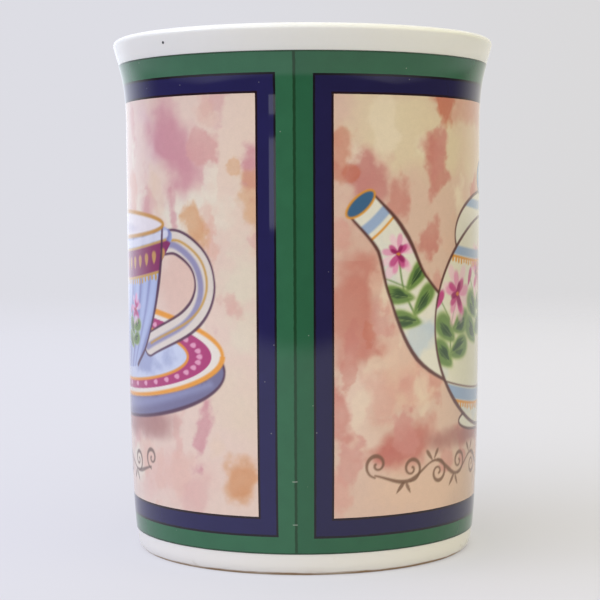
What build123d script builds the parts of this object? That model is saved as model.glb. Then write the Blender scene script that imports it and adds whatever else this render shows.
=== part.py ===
"""A tall bone-china mug: a turned body with a flared lip, a C-shaped handle
cast apart and luted on with slip, and two printed transfers round the wall.

The origin is on the mug's axis, on the plane that its foot stands on. +Z is up,
the handle is on the +Y side, and the two transfers meet in a seam at -Y.
Millimetres and degrees.
"""

import os
from math import cos, radians, sin

from build123d import *

os.makedirs("parts", exist_ok=True)

# ---- body ----
mug_height = 103.3
foot_radius = 33.4
foot_corner_radius = 34.55
foot_corner_height = 2.3
mid_radius = 36.0
lip_outer_radius = 38.7
lip_thickness = 2.0
lip_flare_angle = 13.5
wall_thickness = 2.6
floor_height = 5.2
floor_corner_radius = 8.0
foot_recess_depth = 1.6
foot_ring_width = 3.2
foot_recess_slope = 1.8

# ---- handle ----
handle_route = [(33.0, 80.0), (60.0, 85.5), (66.5, 58.0), (56.0, 29.0), (33.0, 25.5)]
handle_bend_radii = [14.5, 40.0, 26.0]
handle_top_section = (12.4, 7.0)
handle_middle_section = (10.6, 6.2)
handle_bottom_section = (11.4, 6.6)
slip_thickness = 0.4
slip_bead_height = 3.0
slip_bead_spread = 2.0

# ---- transfers ----
transfer_thickness = 0.12
transfer_sweep = 160.0
border_heights = (4.2, 98.3)
frame_heights = (7.5, 94.4)
picture_heights = (11.3, 90.6)
border_width_angle = 5.46
frame_width_angle = 6.14
right_print_drop = 0.25

# ---- worked out ----
lip_centre = (lip_outer_radius - lip_thickness / 2, mug_height - lip_thickness / 2)
lip_run = (sin(radians(lip_flare_angle)), cos(radians(lip_flare_angle)))
lip_outer_end = (
    lip_centre[0] + lip_thickness / 2 * lip_run[1],
    lip_centre[1] - lip_thickness / 2 * lip_run[0],
)
lip_inner_end = (
    lip_centre[0] - lip_thickness / 2 * lip_run[1],
    lip_centre[1] + lip_thickness / 2 * lip_run[0],
)
floor_corner = (mid_radius - wall_thickness - 0.7, floor_height + floor_corner_radius)


def outer_wall(shift):
    """The outer wall's outline from the foot's corner to the lip, moved outwards by shift."""
    outline = [
        (foot_corner_radius, foot_corner_height),
        (mid_radius - 0.7, 12.0),
        (mid_radius, 50.0),
        (mid_radius + 0.15, 84.0),
        (mid_radius + 0.38, 92.0),
        (mid_radius + 1.2, 97.0),
        lip_outer_end,
    ]
    return Spline(
        [(radius + shift, height) for radius, height in outline],
        tangents=[(0.12, 1.0), lip_run],
    )


def radial_plane(angle):
    """The upright plane through the axis, angle degrees round from the seam towards +X."""
    turn = radians(angle)
    return Plane(
        origin=(0, 0, 0),
        x_dir=(sin(turn), -cos(turn), 0),
        z_dir=(-cos(turn), -sin(turn), 0),
    )


def filled_wall(shift):
    """The whole space inside the outer wall, with its surface moved outwards by shift."""
    with BuildPart() as blank:
        with BuildSketch(Plane.XZ):
            with BuildLine():
                wall = outer_wall(shift)
                Polyline(
                    wall @ 1,
                    (0, lip_outer_end[1]),
                    (0, foot_corner_height),
                    wall @ 0,
                )
            make_face()
        revolve(axis=Axis.Z)
    return blank.part


def print_layer(side, heights, margin_angle, drop):
    """One layer of a transfer: a thin skin on the wall, clear of the sheet's ends by an angle.

    The right sheet starts at the seam and the left sheet ends there.
    """
    low, high = [height - drop for height in heights]
    sheet_start = 0 if side == "right" else -transfer_sweep
    with BuildPart() as layer:
        with BuildSketch(radial_plane(sheet_start + margin_angle)):
            with BuildLine():
                wall = outer_wall(0)
                face = outer_wall(transfer_thickness)
                Line(wall @ 0, face @ 0)
                Line(wall @ 1, face @ 1)
            make_face()
            with Locations((mid_radius, (low + high) / 2)):
                Rectangle(mid_radius, high - low, mode=Mode.INTERSECT)
        revolve(axis=Axis.Z, revolution_arc=transfer_sweep - 2 * margin_angle)
    return layer.part


# ---- the body: wall, lip, floor and foot ring, turned in one piece ----
with BuildPart() as mug_body:
    with BuildSketch(Plane.XZ):
        with BuildLine():
            outside = outer_wall(0)
            CenterArc(lip_centre, lip_thickness / 2, -lip_flare_angle, 180)
            inside = Spline(
                [
                    lip_inner_end,
                    (mid_radius - 0.9, 97.0),
                    (mid_radius - wall_thickness + 0.4, 89.0),
                    (mid_radius - wall_thickness + 0.1, 78.0),
                    (mid_radius - wall_thickness, 50.0),
                    floor_corner,
                ],
                tangents=[(-lip_run[0], -lip_run[1]), (0, -1)],
            )
            CenterArc(
                (floor_corner[0] - floor_corner_radius, floor_corner[1]),
                floor_corner_radius,
                -90,
                90,
            )
            foot_inner_radius = foot_radius - foot_ring_width
            recess_radius = foot_inner_radius - foot_recess_slope
            Polyline(
                (floor_corner[0] - floor_corner_radius, floor_height),
                (0, floor_height),
                (0, foot_recess_depth),
                (recess_radius, foot_recess_depth),
                (foot_inner_radius, 0),
                (foot_radius, 0),
            )
            ThreePointArc(
                (foot_radius, 0),
                (foot_radius + 0.72, 0.85),
                outside @ 0,
            )
        make_face()
    revolve(axis=Axis.Z)
mug_body.part.label = "mug_body"
export_step(mug_body.part, "parts/mug_body.step")


# ---- the handle: an oval section that narrows towards its middle ----
inside_wall = filled_wall(0)
inside_slip = filled_wall(slip_thickness)

with BuildPart() as handle:
    with BuildLine(Plane.YZ) as route:
        FilletPolyline(*handle_route, radius=handle_bend_radii)
    sections = [handle_top_section, handle_middle_section, handle_bottom_section]
    for position, (width, depth) in zip((0, 0.5, 1), sections):
        section_plane = Plane(
            origin=route.line @ position,
            x_dir=(1, 0, 0),
            z_dir=route.line % position,
        )
        with BuildSketch(section_plane):
            Ellipse(width / 2, depth / 2)
    sweep(path=route.line, multisection=True)
    add(inside_slip, mode=Mode.SUBTRACT)
handle.part.label = "handle"
export_step(handle.part, "parts/handle.step")


# ---- the two joints: slip between wall and handle, squeezed out in a bead ----
joint_ends = [
    ("upper_handle_joint", 0, handle_top_section),
    ("lower_handle_joint", 1, handle_bottom_section),
]
for joint_name, position, (width, depth) in joint_ends:
    outward = (route.line % position) * (1 - 2 * position)
    wall_end = route.line @ position
    root_length = mid_radius - wall_end.Y
    with BuildPart() as joint:
        with BuildSketch(Plane(origin=wall_end, x_dir=(1, 0, 0), z_dir=outward)):
            Ellipse(
                width / 2 + slip_bead_spread,
                depth / 2 + slip_bead_spread,
            )
        bead_tip = wall_end + outward * (root_length + slip_bead_height)
        with BuildSketch(Plane(origin=bead_tip, x_dir=(1, 0, 0), z_dir=outward)):
            Ellipse(width / 2 + 0.05, depth / 2 + 0.05)
        loft()
        add(inside_wall, mode=Mode.SUBTRACT)
        add(handle.part, mode=Mode.SUBTRACT)
    joint.part.label = joint_name
    export_step(joint.part, f"parts/{joint_name}.step")


# ---- the two transfers, each printed as a border, a frame and a picture ----
for side in ("right", "left"):
    drop = right_print_drop if side == "right" else 0
    border_sheet = print_layer(side, border_heights, 0, 0)
    frame_sheet = print_layer(side, frame_heights, border_width_angle, drop)
    picture_sheet = print_layer(
        side, picture_heights, border_width_angle + frame_width_angle, drop
    )
    layers = {
        "green_border": border_sheet - frame_sheet,
        "navy_frame": frame_sheet - picture_sheet,
        "picture": picture_sheet,
    }
    for layer_name, sheet in layers.items():
        with BuildPart() as layer:
            add(sheet)
        layer.part.label = f"{side}_{layer_name}"
        export_step(layer.part, f"parts/{side}_{layer_name}.step")
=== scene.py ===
import math

import bpy
import numpy as np
from mathutils import Matrix, Vector


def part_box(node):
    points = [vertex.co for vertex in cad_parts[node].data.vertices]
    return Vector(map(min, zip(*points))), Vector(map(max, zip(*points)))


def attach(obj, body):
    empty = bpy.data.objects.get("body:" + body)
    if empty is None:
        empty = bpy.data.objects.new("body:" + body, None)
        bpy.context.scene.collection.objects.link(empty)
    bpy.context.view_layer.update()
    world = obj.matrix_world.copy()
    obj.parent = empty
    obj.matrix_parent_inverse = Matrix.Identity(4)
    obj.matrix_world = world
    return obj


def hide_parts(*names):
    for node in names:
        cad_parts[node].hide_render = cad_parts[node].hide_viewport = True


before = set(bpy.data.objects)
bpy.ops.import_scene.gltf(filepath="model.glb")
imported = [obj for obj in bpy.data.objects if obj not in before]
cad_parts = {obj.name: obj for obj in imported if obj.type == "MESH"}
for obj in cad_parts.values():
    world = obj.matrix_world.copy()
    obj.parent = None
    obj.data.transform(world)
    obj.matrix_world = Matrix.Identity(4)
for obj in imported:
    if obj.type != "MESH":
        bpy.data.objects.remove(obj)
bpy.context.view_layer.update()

MM = 0.001

# ---- Driving sizes, in millimetres and degrees, as in the CAD model ----
BODY_LOW, BODY_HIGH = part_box("mug_body")
MUG_HEIGHT = BODY_HIGH.z / MM
LIP_OUTER_RADIUS = -BODY_LOW.y / MM
MID_RADIUS = 36.0
WALL_THICKNESS = 2.6
LIP_THICKNESS = 2.0
LIP_FLARE = math.radians(13.5)
FOOT_RADIUS = 33.4
FOOT_RING_WIDTH = 3.2
FOOT_RECESS_DEPTH = 1.6
FOOT_RECESS_SLOPE = 1.8
FOOT_CORNER = (34.55, 2.3)
FLOOR_HEIGHT = 5.2
FLOOR_CORNER_RADIUS = 8.0

SHEET_ANGLE = 160.0
BORDER_ANGLE = 5.46
FRAME_ANGLE = 6.14
BORDER_HEIGHTS = (4.2, 98.3)
FRAME_HEIGHTS = (7.5, 94.4)
PICTURE_HEIGHTS = (11.3, 90.6)
PICTURE_INSET = BORDER_ANGLE + FRAME_ANGLE
RIGHT_PRINT_DROP = 0.25
GREEN_LINE_WIDTH, NAVY_LINE_WIDTH = 0.27, 0.42
SKIN_LIFT, SKIN_BACK_LIFT = 0.1, 0.01

HANDLE_ROUTE = [(33.0, 80.0), (60.0, 85.5), (66.5, 58.0), (56.0, 29.0), (33.0, 25.5)]
HANDLE_BENDS = [14.5, 40.0, 26.0]
HANDLE_SECTIONS = [(12.4, 7.0), (10.6, 6.2), (11.4, 6.6)]
SLIP_SPREAD = 1.9
SLIP_REACH = 2.9
ROUTE_STEP, ROUTE_SOFTENINGS = 0.6, 40
OVAL_POWER = 0.92
BODY_SEGMENTS, HANDLE_SEGMENTS, SLIP_SEGMENTS = 384, 64, 96
FINE_BELOW, FINE_ABOVE = 14, 84

PICTURE_COLUMNS, PICTURE_ROWS = 431, 397
SEAM_TICKS, TICK_SPAN, TICK_HALF_HEIGHT = (18.1, 9.9), (-0.65, 0.3), 0.10
FLOOR_HALF_WIDTH, FLOOR_DROP = 1200.0, 0.05

# ---- The photographer's camera, in metres and degrees, its lens and sensor in millimetres ----
CAMERA_DISTANCE = 0.3462
CAMERA_HEIGHT = 0.06877
CAMERA_ANGLE = 2.5
CAMERA_YAW, CAMERA_PITCH, CAMERA_ROLL = -0.12, 3.05, -0.24
CAMERA_LENS = 100.26
SENSOR_WIDTH = 36.0


def add_object(name, data):
    added = bpy.data.objects.new(name, data)
    bpy.context.scene.collection.objects.link(added)
    return added


def cos_sin(angle):
    """The cosine and sine of an angle in degrees."""
    return math.cos(math.radians(angle)), math.sin(math.radians(angle))


# ---- Shapes ----

def clamped_spline(knots, start_slope, end_slope):
    """A cubic spline through (place, value) knots with set slopes at its ends, as a function."""
    place, value = np.array(knots, float).T
    step = np.diff(place)
    rise = np.diff(value) / step
    count = len(place)
    system = np.zeros((count, count))
    target = np.zeros(count)
    system[0, 0] = system[-1, -1] = 1
    target[0] = start_slope
    target[-1] = end_slope
    for i in range(1, count - 1):
        system[i, i - 1:i + 2] = step[i], 2 * (step[i - 1] + step[i]), step[i - 1]
        target[i] = 3 * (step[i] * rise[i - 1] + step[i - 1] * rise[i])
    slope = np.linalg.solve(system, target)

    def evaluate(where):
        where = np.asarray(where, float)
        i = np.clip(np.searchsorted(place, where) - 1, 0, count - 2)
        width = step[i]
        t = (where - place[i]) / width
        return (
            value[i] * (1 + 2 * t) * (1 - t) ** 2
            + width * slope[i] * t * (1 - t) ** 2
            + value[i + 1] * t ** 2 * (3 - 2 * t)
            + width * slope[i + 1] * t ** 2 * (t - 1)
        )

    return evaluate


LIP_CENTRE = (LIP_OUTER_RADIUS - LIP_THICKNESS / 2, MUG_HEIGHT - LIP_THICKNESS / 2)
LIP_ARM = (LIP_THICKNESS / 2 * math.cos(LIP_FLARE), LIP_THICKNESS / 2 * math.sin(LIP_FLARE))
LIP_OUTER_END = (LIP_CENTRE[0] + LIP_ARM[0], LIP_CENTRE[1] - LIP_ARM[1])
LIP_INNER_END = (LIP_CENTRE[0] - LIP_ARM[0], LIP_CENTRE[1] + LIP_ARM[1])
FLOOR_CORNER = (MID_RADIUS - WALL_THICKNESS - 0.7, FLOOR_HEIGHT + FLOOR_CORNER_RADIUS)

outer_radius = clamped_spline([
    (FOOT_CORNER[1], FOOT_CORNER[0]), (12.0, MID_RADIUS - 0.7), (50.0, MID_RADIUS), (84.0, MID_RADIUS + 0.15),
    (92.0, MID_RADIUS + 0.38), (97.0, MID_RADIUS + 1.2), (LIP_OUTER_END[1], LIP_OUTER_END[0]),
], 0.12, math.tan(LIP_FLARE))
INNER_RADIUS = MID_RADIUS - WALL_THICKNESS
inner_radius = clamped_spline([
    (FLOOR_CORNER[1], FLOOR_CORNER[0]), (50.0, INNER_RADIUS), (78.0, INNER_RADIUS + 0.1),
    (89.0, INNER_RADIUS + 0.4), (97.0, MID_RADIUS - 0.9), (LIP_INNER_END[1], LIP_INNER_END[0]),
], 0.0, math.tan(LIP_FLARE))


def mesh_object(name, points, faces):
    """A new object from points in millimetres."""
    mesh = bpy.data.meshes.new(name)
    mesh.from_pydata((np.asarray(points) * MM).tolist(), [], faces)
    mesh.validate()
    mesh.update()
    mesh.polygons.foreach_set("use_smooth", [True] * len(mesh.polygons))
    mesh.set_sharp_from_angle(angle=math.radians(40))
    return add_object(name, mesh)


def finish_piece(piece, material, slot, *nodes):
    """Gives a piece its material, rides it on the mug and hides the nodes it stands for."""
    piece.data.materials.append(material)
    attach(piece, "root")
    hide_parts(*nodes)


def arc_points(centre, radius, start, end, count):
    """Points along an arc between two angles in degrees."""
    turn = np.linspace(math.radians(start), math.radians(end), count)
    return np.stack([centre[0] + radius * np.cos(turn), centre[1] + radius * np.sin(turn)], 1)


def bend(start, pull, end, t):
    """A quadratic curve from start to end, pulled towards a third point."""
    return (1 - t) ** 2 * start + 2 * t * (1 - t) * pull + t ** 2 * end


def body_outline():
    """(radius, height) from under the middle out, up over the lip, to the middle of the floor."""
    foot_inner = FOOT_RADIUS - FOOT_RING_WIDTH
    recess = foot_inner - FOOT_RECESS_SLOPE
    flat_end = recess - 2.0
    ring_lift = 0.02
    under = clamped_spline([
        (0.0, FOOT_RECESS_DEPTH), (flat_end, FOOT_RECESS_DEPTH),
        (recess + 0.9, FOOT_RECESS_DEPTH / 2), (foot_inner, ring_lift),
    ], 0.0, -0.35)
    under_radius = np.concatenate([
        np.linspace(0, flat_end, 14)[:-1],
        np.linspace(flat_end, foot_inner, 16),
    ])
    under_height = np.clip(under(under_radius), ring_lift, FOOT_RECESS_DEPTH)
    underside = np.stack([under_radius, under_height], 1)
    ring = np.stack([np.linspace(foot_inner + 0.4, FOOT_RADIUS - 0.3, 8), np.zeros(8)], 1)
    corner = bend(
        np.array([FOOT_RADIUS, 0.0]), np.array([FOOT_RADIUS + 0.92, 0.35]), np.array(FOOT_CORNER),
        np.linspace(0, 1, 14)[:, None],
    )
    wall_height = np.concatenate([
        np.linspace(FOOT_CORNER[1], FINE_BELOW, 14)[1:],
        np.linspace(FINE_BELOW, FINE_ABOVE, 46)[1:],
        np.linspace(FINE_ABOVE, LIP_OUTER_END[1], 34)[1:],
    ])
    wall = np.stack([outer_radius(wall_height), wall_height], 1)
    flare = math.degrees(LIP_FLARE)
    lip = arc_points(LIP_CENTRE, LIP_THICKNESS / 2, -flare, 180 - flare, 26)[1:]
    inside_height = np.concatenate([
        np.linspace(LIP_INNER_END[1], FINE_ABOVE, 30)[1:],
        np.linspace(FINE_ABOVE, FLOOR_CORNER[1], 44)[1:],
    ])
    inside = np.stack([inner_radius(inside_height), inside_height], 1)
    floor_centre = (FLOOR_CORNER[0] - FLOOR_CORNER_RADIUS, FLOOR_CORNER[1])
    floor_arc = arc_points(floor_centre, FLOOR_CORNER_RADIUS, 0, -90, 20)[1:]
    floor_radius = np.linspace(floor_centre[0], 0, 16)[1:]
    floor = np.stack([floor_radius, np.full(15, FLOOR_HEIGHT)], 1)
    return np.concatenate([underside, ring, corner, wall, lip, inside, floor_arc, floor])


def closed_shell(name, rings, tips, turned=False):
    """A closed solid through rings of equal length, with faces from each end ring to its tip."""
    count, around = rings.shape[:2]
    row = np.arange(around)
    after = (row + 1) % around
    end = (count - 1) * around
    first, last = count * around, count * around + 1
    faces = []
    for low in range(0, end, around):
        high = low + around
        faces += np.stack([low + row, low + after, high + after, high + row], 1).tolist()
    faces += [[first, int(b), int(a)] for a, b in zip(row, after)]
    faces += [[last, int(end + a), int(end + b)] for a, b in zip(row, after)]
    if turned:
        faces = [face[:1] + face[:0:-1] for face in faces]
    return mesh_object(name, np.concatenate([rings.reshape(-1, 3), tips]), faces)


def lathe(name, outline, segments):
    """A closed solid of revolution about Z. The outline starts and ends on the axis."""
    radius, height = outline[1:-1].T
    turn = np.arange(segments) * 2 * math.pi / segments
    rings = np.stack([
        radius[:, None] * np.cos(turn),
        radius[:, None] * np.sin(turn),
        np.broadcast_to(height[:, None], (len(radius), segments)),
    ], 2)
    return closed_shell(name, rings, [[0, 0, outline[0][1]], [0, 0, outline[-1][1]]])


def tube(name, rings):
    """A closed solid through a list of rings, capped at both ends."""
    return closed_shell(name, np.array(rings), [rings[0].mean(0), rings[-1].mean(0)], turned=True)


def wall_point(angle, height, lift):
    """The point on the wall at an angle in degrees from the seam towards +X, lifted off it."""
    radius = outer_radius(height) + lift
    turn = np.radians(angle)
    return np.stack([radius * np.sin(turn), -radius * np.cos(turn), height], -1)


def print_skin(name, angles, heights, hole=None):
    """A thin closed skin on the wall over a grid of angles and heights, open over a hole.

    Each point carries its place on the unrolled wall, in millimetres, as the attribute 'sheet'.
    """
    columns, rows = len(angles), len(heights)
    angle, height = np.meshgrid(angles, heights)
    front = wall_point(angle, height, SKIN_LIFT).reshape(-1, 3)
    back = wall_point(angle, height, SKIN_BACK_LIFT).reshape(-1, 3)
    kept = np.ones((rows - 1, columns - 1), bool)
    if hole:
        spans = zip((angles, heights), hole)
        middles = [((steps[1:] + steps[:-1]) / 2, low, high) for steps, (low, high) in spans]
        in_angle, in_height = [(middle > low) & (middle < high) for middle, low, high in middles]
        kept = ~np.outer(in_height, in_angle)
    i, j = np.nonzero(kept)
    corner = i * columns + j
    count = rows * columns
    faces = np.stack([corner, corner + 1, corner + columns + 1, corner + columns], 1)
    edges = [faces, faces[:, ::-1] + count]
    padded = np.pad(kept, 1)
    sides = [
        (padded[:-2, 1:-1], 0, 1),
        (padded[1:-1, 2:], 1, columns + 1),
        (padded[2:, 1:-1], columns + 1, columns),
        (padded[1:-1, :-2], columns, 0),
    ]
    for neighbour, start, end in sides:
        i, j = np.nonzero(kept & ~neighbour)
        corner = i * columns + j
        a, b = corner + start, corner + end
        edges.append(np.stack([b, a, a + count, b + count], 1))
    faces = np.concatenate(edges)
    points = np.concatenate([front, back])
    used, faces = np.unique(faces, return_inverse=True)
    piece = mesh_object(name, points[used], faces.reshape(-1, 4).tolist())
    place = np.stack([np.radians(angle) * MID_RADIUS, height, np.zeros_like(height)], 2)
    place = np.tile(place.reshape(-1, 3), (2, 1))[used]
    sheet = piece.data.attributes.new("sheet", "FLOAT_VECTOR", "POINT")
    sheet.data.foreach_set("vector", place.astype(np.float32).ravel())
    return piece, used


def rounded_route(points, radii, spacing):
    """Straight runs joined by tangent arcs, as evenly spaced points in a plane."""
    points = [np.array(p, float) for p in points]
    route = [points[0]]
    for before, corner, after, radius in zip(points, points[1:], points[2:], radii):
        into = (corner - before) / np.linalg.norm(corner - before)
        out = (after - corner) / np.linalg.norm(after - corner)
        turn = math.acos(float(np.clip(into @ out, -1, 1)))
        reach = radius * math.tan(turn / 2)
        side = np.sign(into[0] * out[1] - into[1] * out[0])
        centre = corner - into * reach + side * radius * np.array([-into[1], into[0]])
        arm = corner - into * reach - centre
        for angle in np.linspace(0, side * turn, 24):
            c, s = math.cos(angle), math.sin(angle)
            route.append(centre + np.array([c * arm[0] - s * arm[1], s * arm[0] + c * arm[1]]))
    route.append(points[-1])
    route = np.array(route)
    length = np.concatenate([[0], np.cumsum(np.linalg.norm(np.diff(route, axis=0), axis=1))])
    even = np.arange(0, length[-1], spacing)
    return np.stack([np.interp(even, length, route[:, k]) for k in (0, 1)], 1)


def handle_frames():
    """The handle's centreline, softened where arcs meet runs, with its directions and section sizes."""
    soft = rounded_route(HANDLE_ROUTE, HANDLE_BENDS, ROUTE_STEP)
    for _ in range(ROUTE_SOFTENINGS):
        soft[1:-1] = (soft[:-2] + 2 * soft[1:-1] + soft[2:]) / 4
    ahead = np.gradient(soft, axis=0)
    ahead /= np.linalg.norm(ahead, axis=1)[:, None]
    across = np.stack([-ahead[:, 1], ahead[:, 0]], 1)
    along = np.linspace(0, 1, len(soft))
    size = np.stack([
        np.interp(along, [0, 0.5, 1], [section[k] / 2 for section in HANDLE_SECTIONS])
        for k in (0, 1)
    ], 1)
    return soft, across, size


def handle_ring(place, across, size, segments, spread=0.0):
    """A ring round the handle's centreline, slightly squarer than an ellipse, widened by a spread."""
    turn = np.linspace(0, 2 * math.pi, segments, endpoint=False)
    c, s = np.cos(turn), np.sin(turn)
    x = (size[0] + spread) * np.sign(c) * np.abs(c) ** OVAL_POWER
    depth = (size[1] + spread) * np.sign(s) * np.abs(s) ** OVAL_POWER
    return np.stack([x, place[0] + depth * across[0], place[1] + depth * across[1]], 1)


def build_handle():
    """The cast handle: an oval section swept along its centreline, ending just inside the slip."""
    rings = []
    for place, across, size in zip(*handle_frames()):
        if place[0] >= outer_radius(place[1]) + 0.2:
            rings.append(handle_ring(place, across, size, HANDLE_SEGMENTS))
    return tube("cast_handle", rings)


def build_joint(name, end):
    """The slip round one end of the handle: a hollow fillet from the wall out onto the handle."""
    centre, across, size = handle_frames()
    if end == 1:
        centre, across, size = centre[::-1], -across[::-1], size[::-1]
    distance = centre[:, 0] - outer_radius(centre[:, 1])
    start = int(np.argmax(distance > 0))
    tip = int(np.argmax(distance > SLIP_REACH))

    def ring_at(index, spread):
        return handle_ring(centre[index], across[index], size[index], SLIP_SEGMENTS, spread)

    def onto_wall(ring, sink):
        height = ring[:, 2]
        depth = np.sqrt(np.maximum((outer_radius(height) - sink) ** 2 - ring[:, 0] ** 2, 1.0))
        return np.stack([ring[:, 0], depth, height], 1)

    foot = onto_wall(ring_at(start, SLIP_SPREAD), 0.0)
    sunk = onto_wall(ring_at(start, SLIP_SPREAD - 0.5), 0.3)
    corner = onto_wall(ring_at(start, 0.0), -0.35)
    rim = ring_at(tip, 0.03)
    inner = ring_at(tip, -0.3)
    middle = [bend(foot, corner, rim, t) for t in np.linspace(0, 1, 22)[1:]]
    return tube(name, [sunk, foot, *middle, inner])


# ---- Materials ----

class Recipe:
    """The node tree of a material or a world, built up by short calls."""

    def __init__(self, owner, output="ShaderNodeOutputMaterial"):
        self.owner = owner
        owner.use_nodes = True
        self.tree = owner.node_tree
        self.tree.nodes.clear()
        self.output = self.tree.nodes.new(output)

    def join(self, value, socket):
        if isinstance(value, bpy.types.NodeSocket):
            self.tree.links.new(value, socket)
        elif isinstance(value, (tuple, list)) and len(value) == 3 and socket.type == "RGBA":
            socket.default_value = (*value, 1)
        else:
            socket.default_value = value

    def node(self, kind, inputs=None, output=0, **settings):
        made = self.tree.nodes.new("ShaderNode" + kind)
        for key, value in settings.items():
            setattr(made, key, value)
        for key, value in (inputs or {}).items():
            self.join(value, made.inputs[key])
        return made.outputs[output]

    def maths(self, operation, a, b=0.0):
        return self.node("Math", {0: a, 1: b}, operation=operation)

    def times(self, a, b):
        return self.maths("MULTIPLY", a, b)

    def split(self, vector):
        made = self.tree.nodes.new("ShaderNodeSeparateXYZ")
        self.join(vector, made.inputs[0])
        return made.outputs

    def place(self):
        return self.node("TexCoord", output="Object")

    def noise(self, scale, detail=3.0, where=None, roughness=0.55):
        return self.node("TexNoise", {
            "Vector": self.place() if where is None else where,
            "Scale": scale, "Detail": detail, "Roughness": roughness,
        })

    def ramp(self, value, low, high, start=0.0, end=1.0):
        """A smooth step from start to end as value goes from low to high."""
        return self.node("MapRange", {
            "Value": value, "From Min": low, "From Max": high, "To Min": start, "To Max": end,
        }, interpolation_type="SMOOTHSTEP")

    def mix(self, factor, a, b):
        made = self.tree.nodes.new("ShaderNodeMix")
        made.data_type = "RGBA"
        for key, value in ((0, factor), (6, a), (7, b)):
            self.join(value, made.inputs[key])
        return made.outputs[2]

    def tint(self, colour, value, low, high):
        """A colour made lighter and darker by a value from 0 to 1."""
        level = self.node("MapRange", {"Value": value, "To Min": low, "To Max": high})
        return self.node("VectorMath", {0: colour, "Scale": level}, operation="SCALE")

    def bump(self, height, strength, distance, normal=None):
        inputs = {"Height": height, "Strength": strength, "Distance": distance}
        if normal is not None:
            inputs["Normal"] = normal
        return self.node("Bump", inputs)

    def show(self, shader):
        self.tree.links.new(shader, self.output.inputs["Surface"])
        return self.owner

    def glazed(self, colour, inputs):
        """A dull ground whose only gloss is a clear coat of glaze."""
        ground = {"Base Color": colour, "Specular IOR Level": 0.0}
        return self.show(self.node("BsdfPrincipled", {**ground, **inputs}))

    def printed(self, colour, grain, relief):
        """An ink under the glaze, with a little of its grain felt through it."""
        return self.glazed(colour, {
            "Roughness": 0.6, "Coat Weight": 1.0, "Coat Roughness": 0.035,
            "Normal": self.bump(grain, relief, 0.00003, glaze_bump(self)),
        })


def to_light(display):
    """Display values from 0 to 255, as linear light from 0 to 1."""
    value = np.asarray(display) / 255
    return np.where(value <= 0.04045, value / 12.92, ((np.clip(value, 0.04, 1) + 0.055) / 1.055) ** 2.4)


def linear(red, green, blue):
    return tuple(to_light((red, green, blue)).tolist())


# ---- Colours as linear light, and the studio's levels and ranges ----
CHINA_COOL = linear(229, 228, 224)
CHINA_WARM = linear(232, 228, 219)
IRON_SPECK = linear(120, 96, 76)
FOOT_PAINTED_SHADE = linear(229, 224, 216)
FOOT_GRIME = linear(196, 168, 128)
FOOT_SPOT = linear(158, 140, 104)
BARE_CLAY = linear(203, 190, 168)
FOOT_STAIN = linear(146, 114, 78)
RIM_MARK = linear(38, 36, 40)
RIM_MARK_PLACE = wall_point(-25.8 / MID_RADIUS * 180 / math.pi, 100.7, 0.0) * MM
PINHOLE = linear(200, 200, 190)
TICK_INK = linear(188, 196, 182)
# Green and navy are each one ink, given a lighter copy for the left sheet and a darker copy for the right:
# painted light and painted shade.
GREEN_LEFT_PAINTED_LIGHT = linear(45, 99, 68)
GREEN_RIGHT_PAINTED_SHADE = linear(37, 91, 61)
GREEN_LINE = linear(22, 60, 34)
NAVY_LEFT_PAINTED_LIGHT = linear(31, 28, 75)
NAVY_RIGHT_PAINTED_SHADE = linear(27, 23, 65)
NAVY_OUTLINE = linear(14, 9, 20)
MAROON_OUTLINE = linear(30, 8, 20)
BACKDROP_LEFT = linear(221, 221, 228)
BACKDROP_RIGHT = linear(218, 217, 218)
# The floor's colours and glow are painted light: bluer and brighter to the left.
FLOOR_LEFT = linear(228, 228, 238)
FLOOR_RIGHT = linear(222, 220, 222)
FLOOR_GLOW = (0.93, 0.78)
FLOOR_GLOW_BOUNCED = 0.7
FLOOR_MATT = (0.16, 0.55)
ROOM_DIM = (0.16, 0.15, 0.15)
CEILING_LEFT = (2.85, 3.0, 3.75)
CEILING_RIGHT = (2.3, 2.2, 1.4)
CEILING_BACK = 0.4
CEILING_ZENITH = 0.5
CEILING_RAMP = (0.12, 0.55)
BEHIND_LEFT = (1.15, 1.2, 1.3)
BACK_LEFT_RAMP = (0.15, 0.85)
BEHIND_RIGHT = (0.85, 0.83, 0.78)
BACK_RIGHT_RAMP = (0.35, 0.9)


def glaze_bump(recipe):
    """The slow wander of a poured glaze, with a faint finer ripple."""
    slow = recipe.bump(recipe.noise(55, 1.0), 0.25, 0.0006)
    return recipe.bump(recipe.noise(420, 1.5), 0.06, 0.0001, slow)


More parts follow.
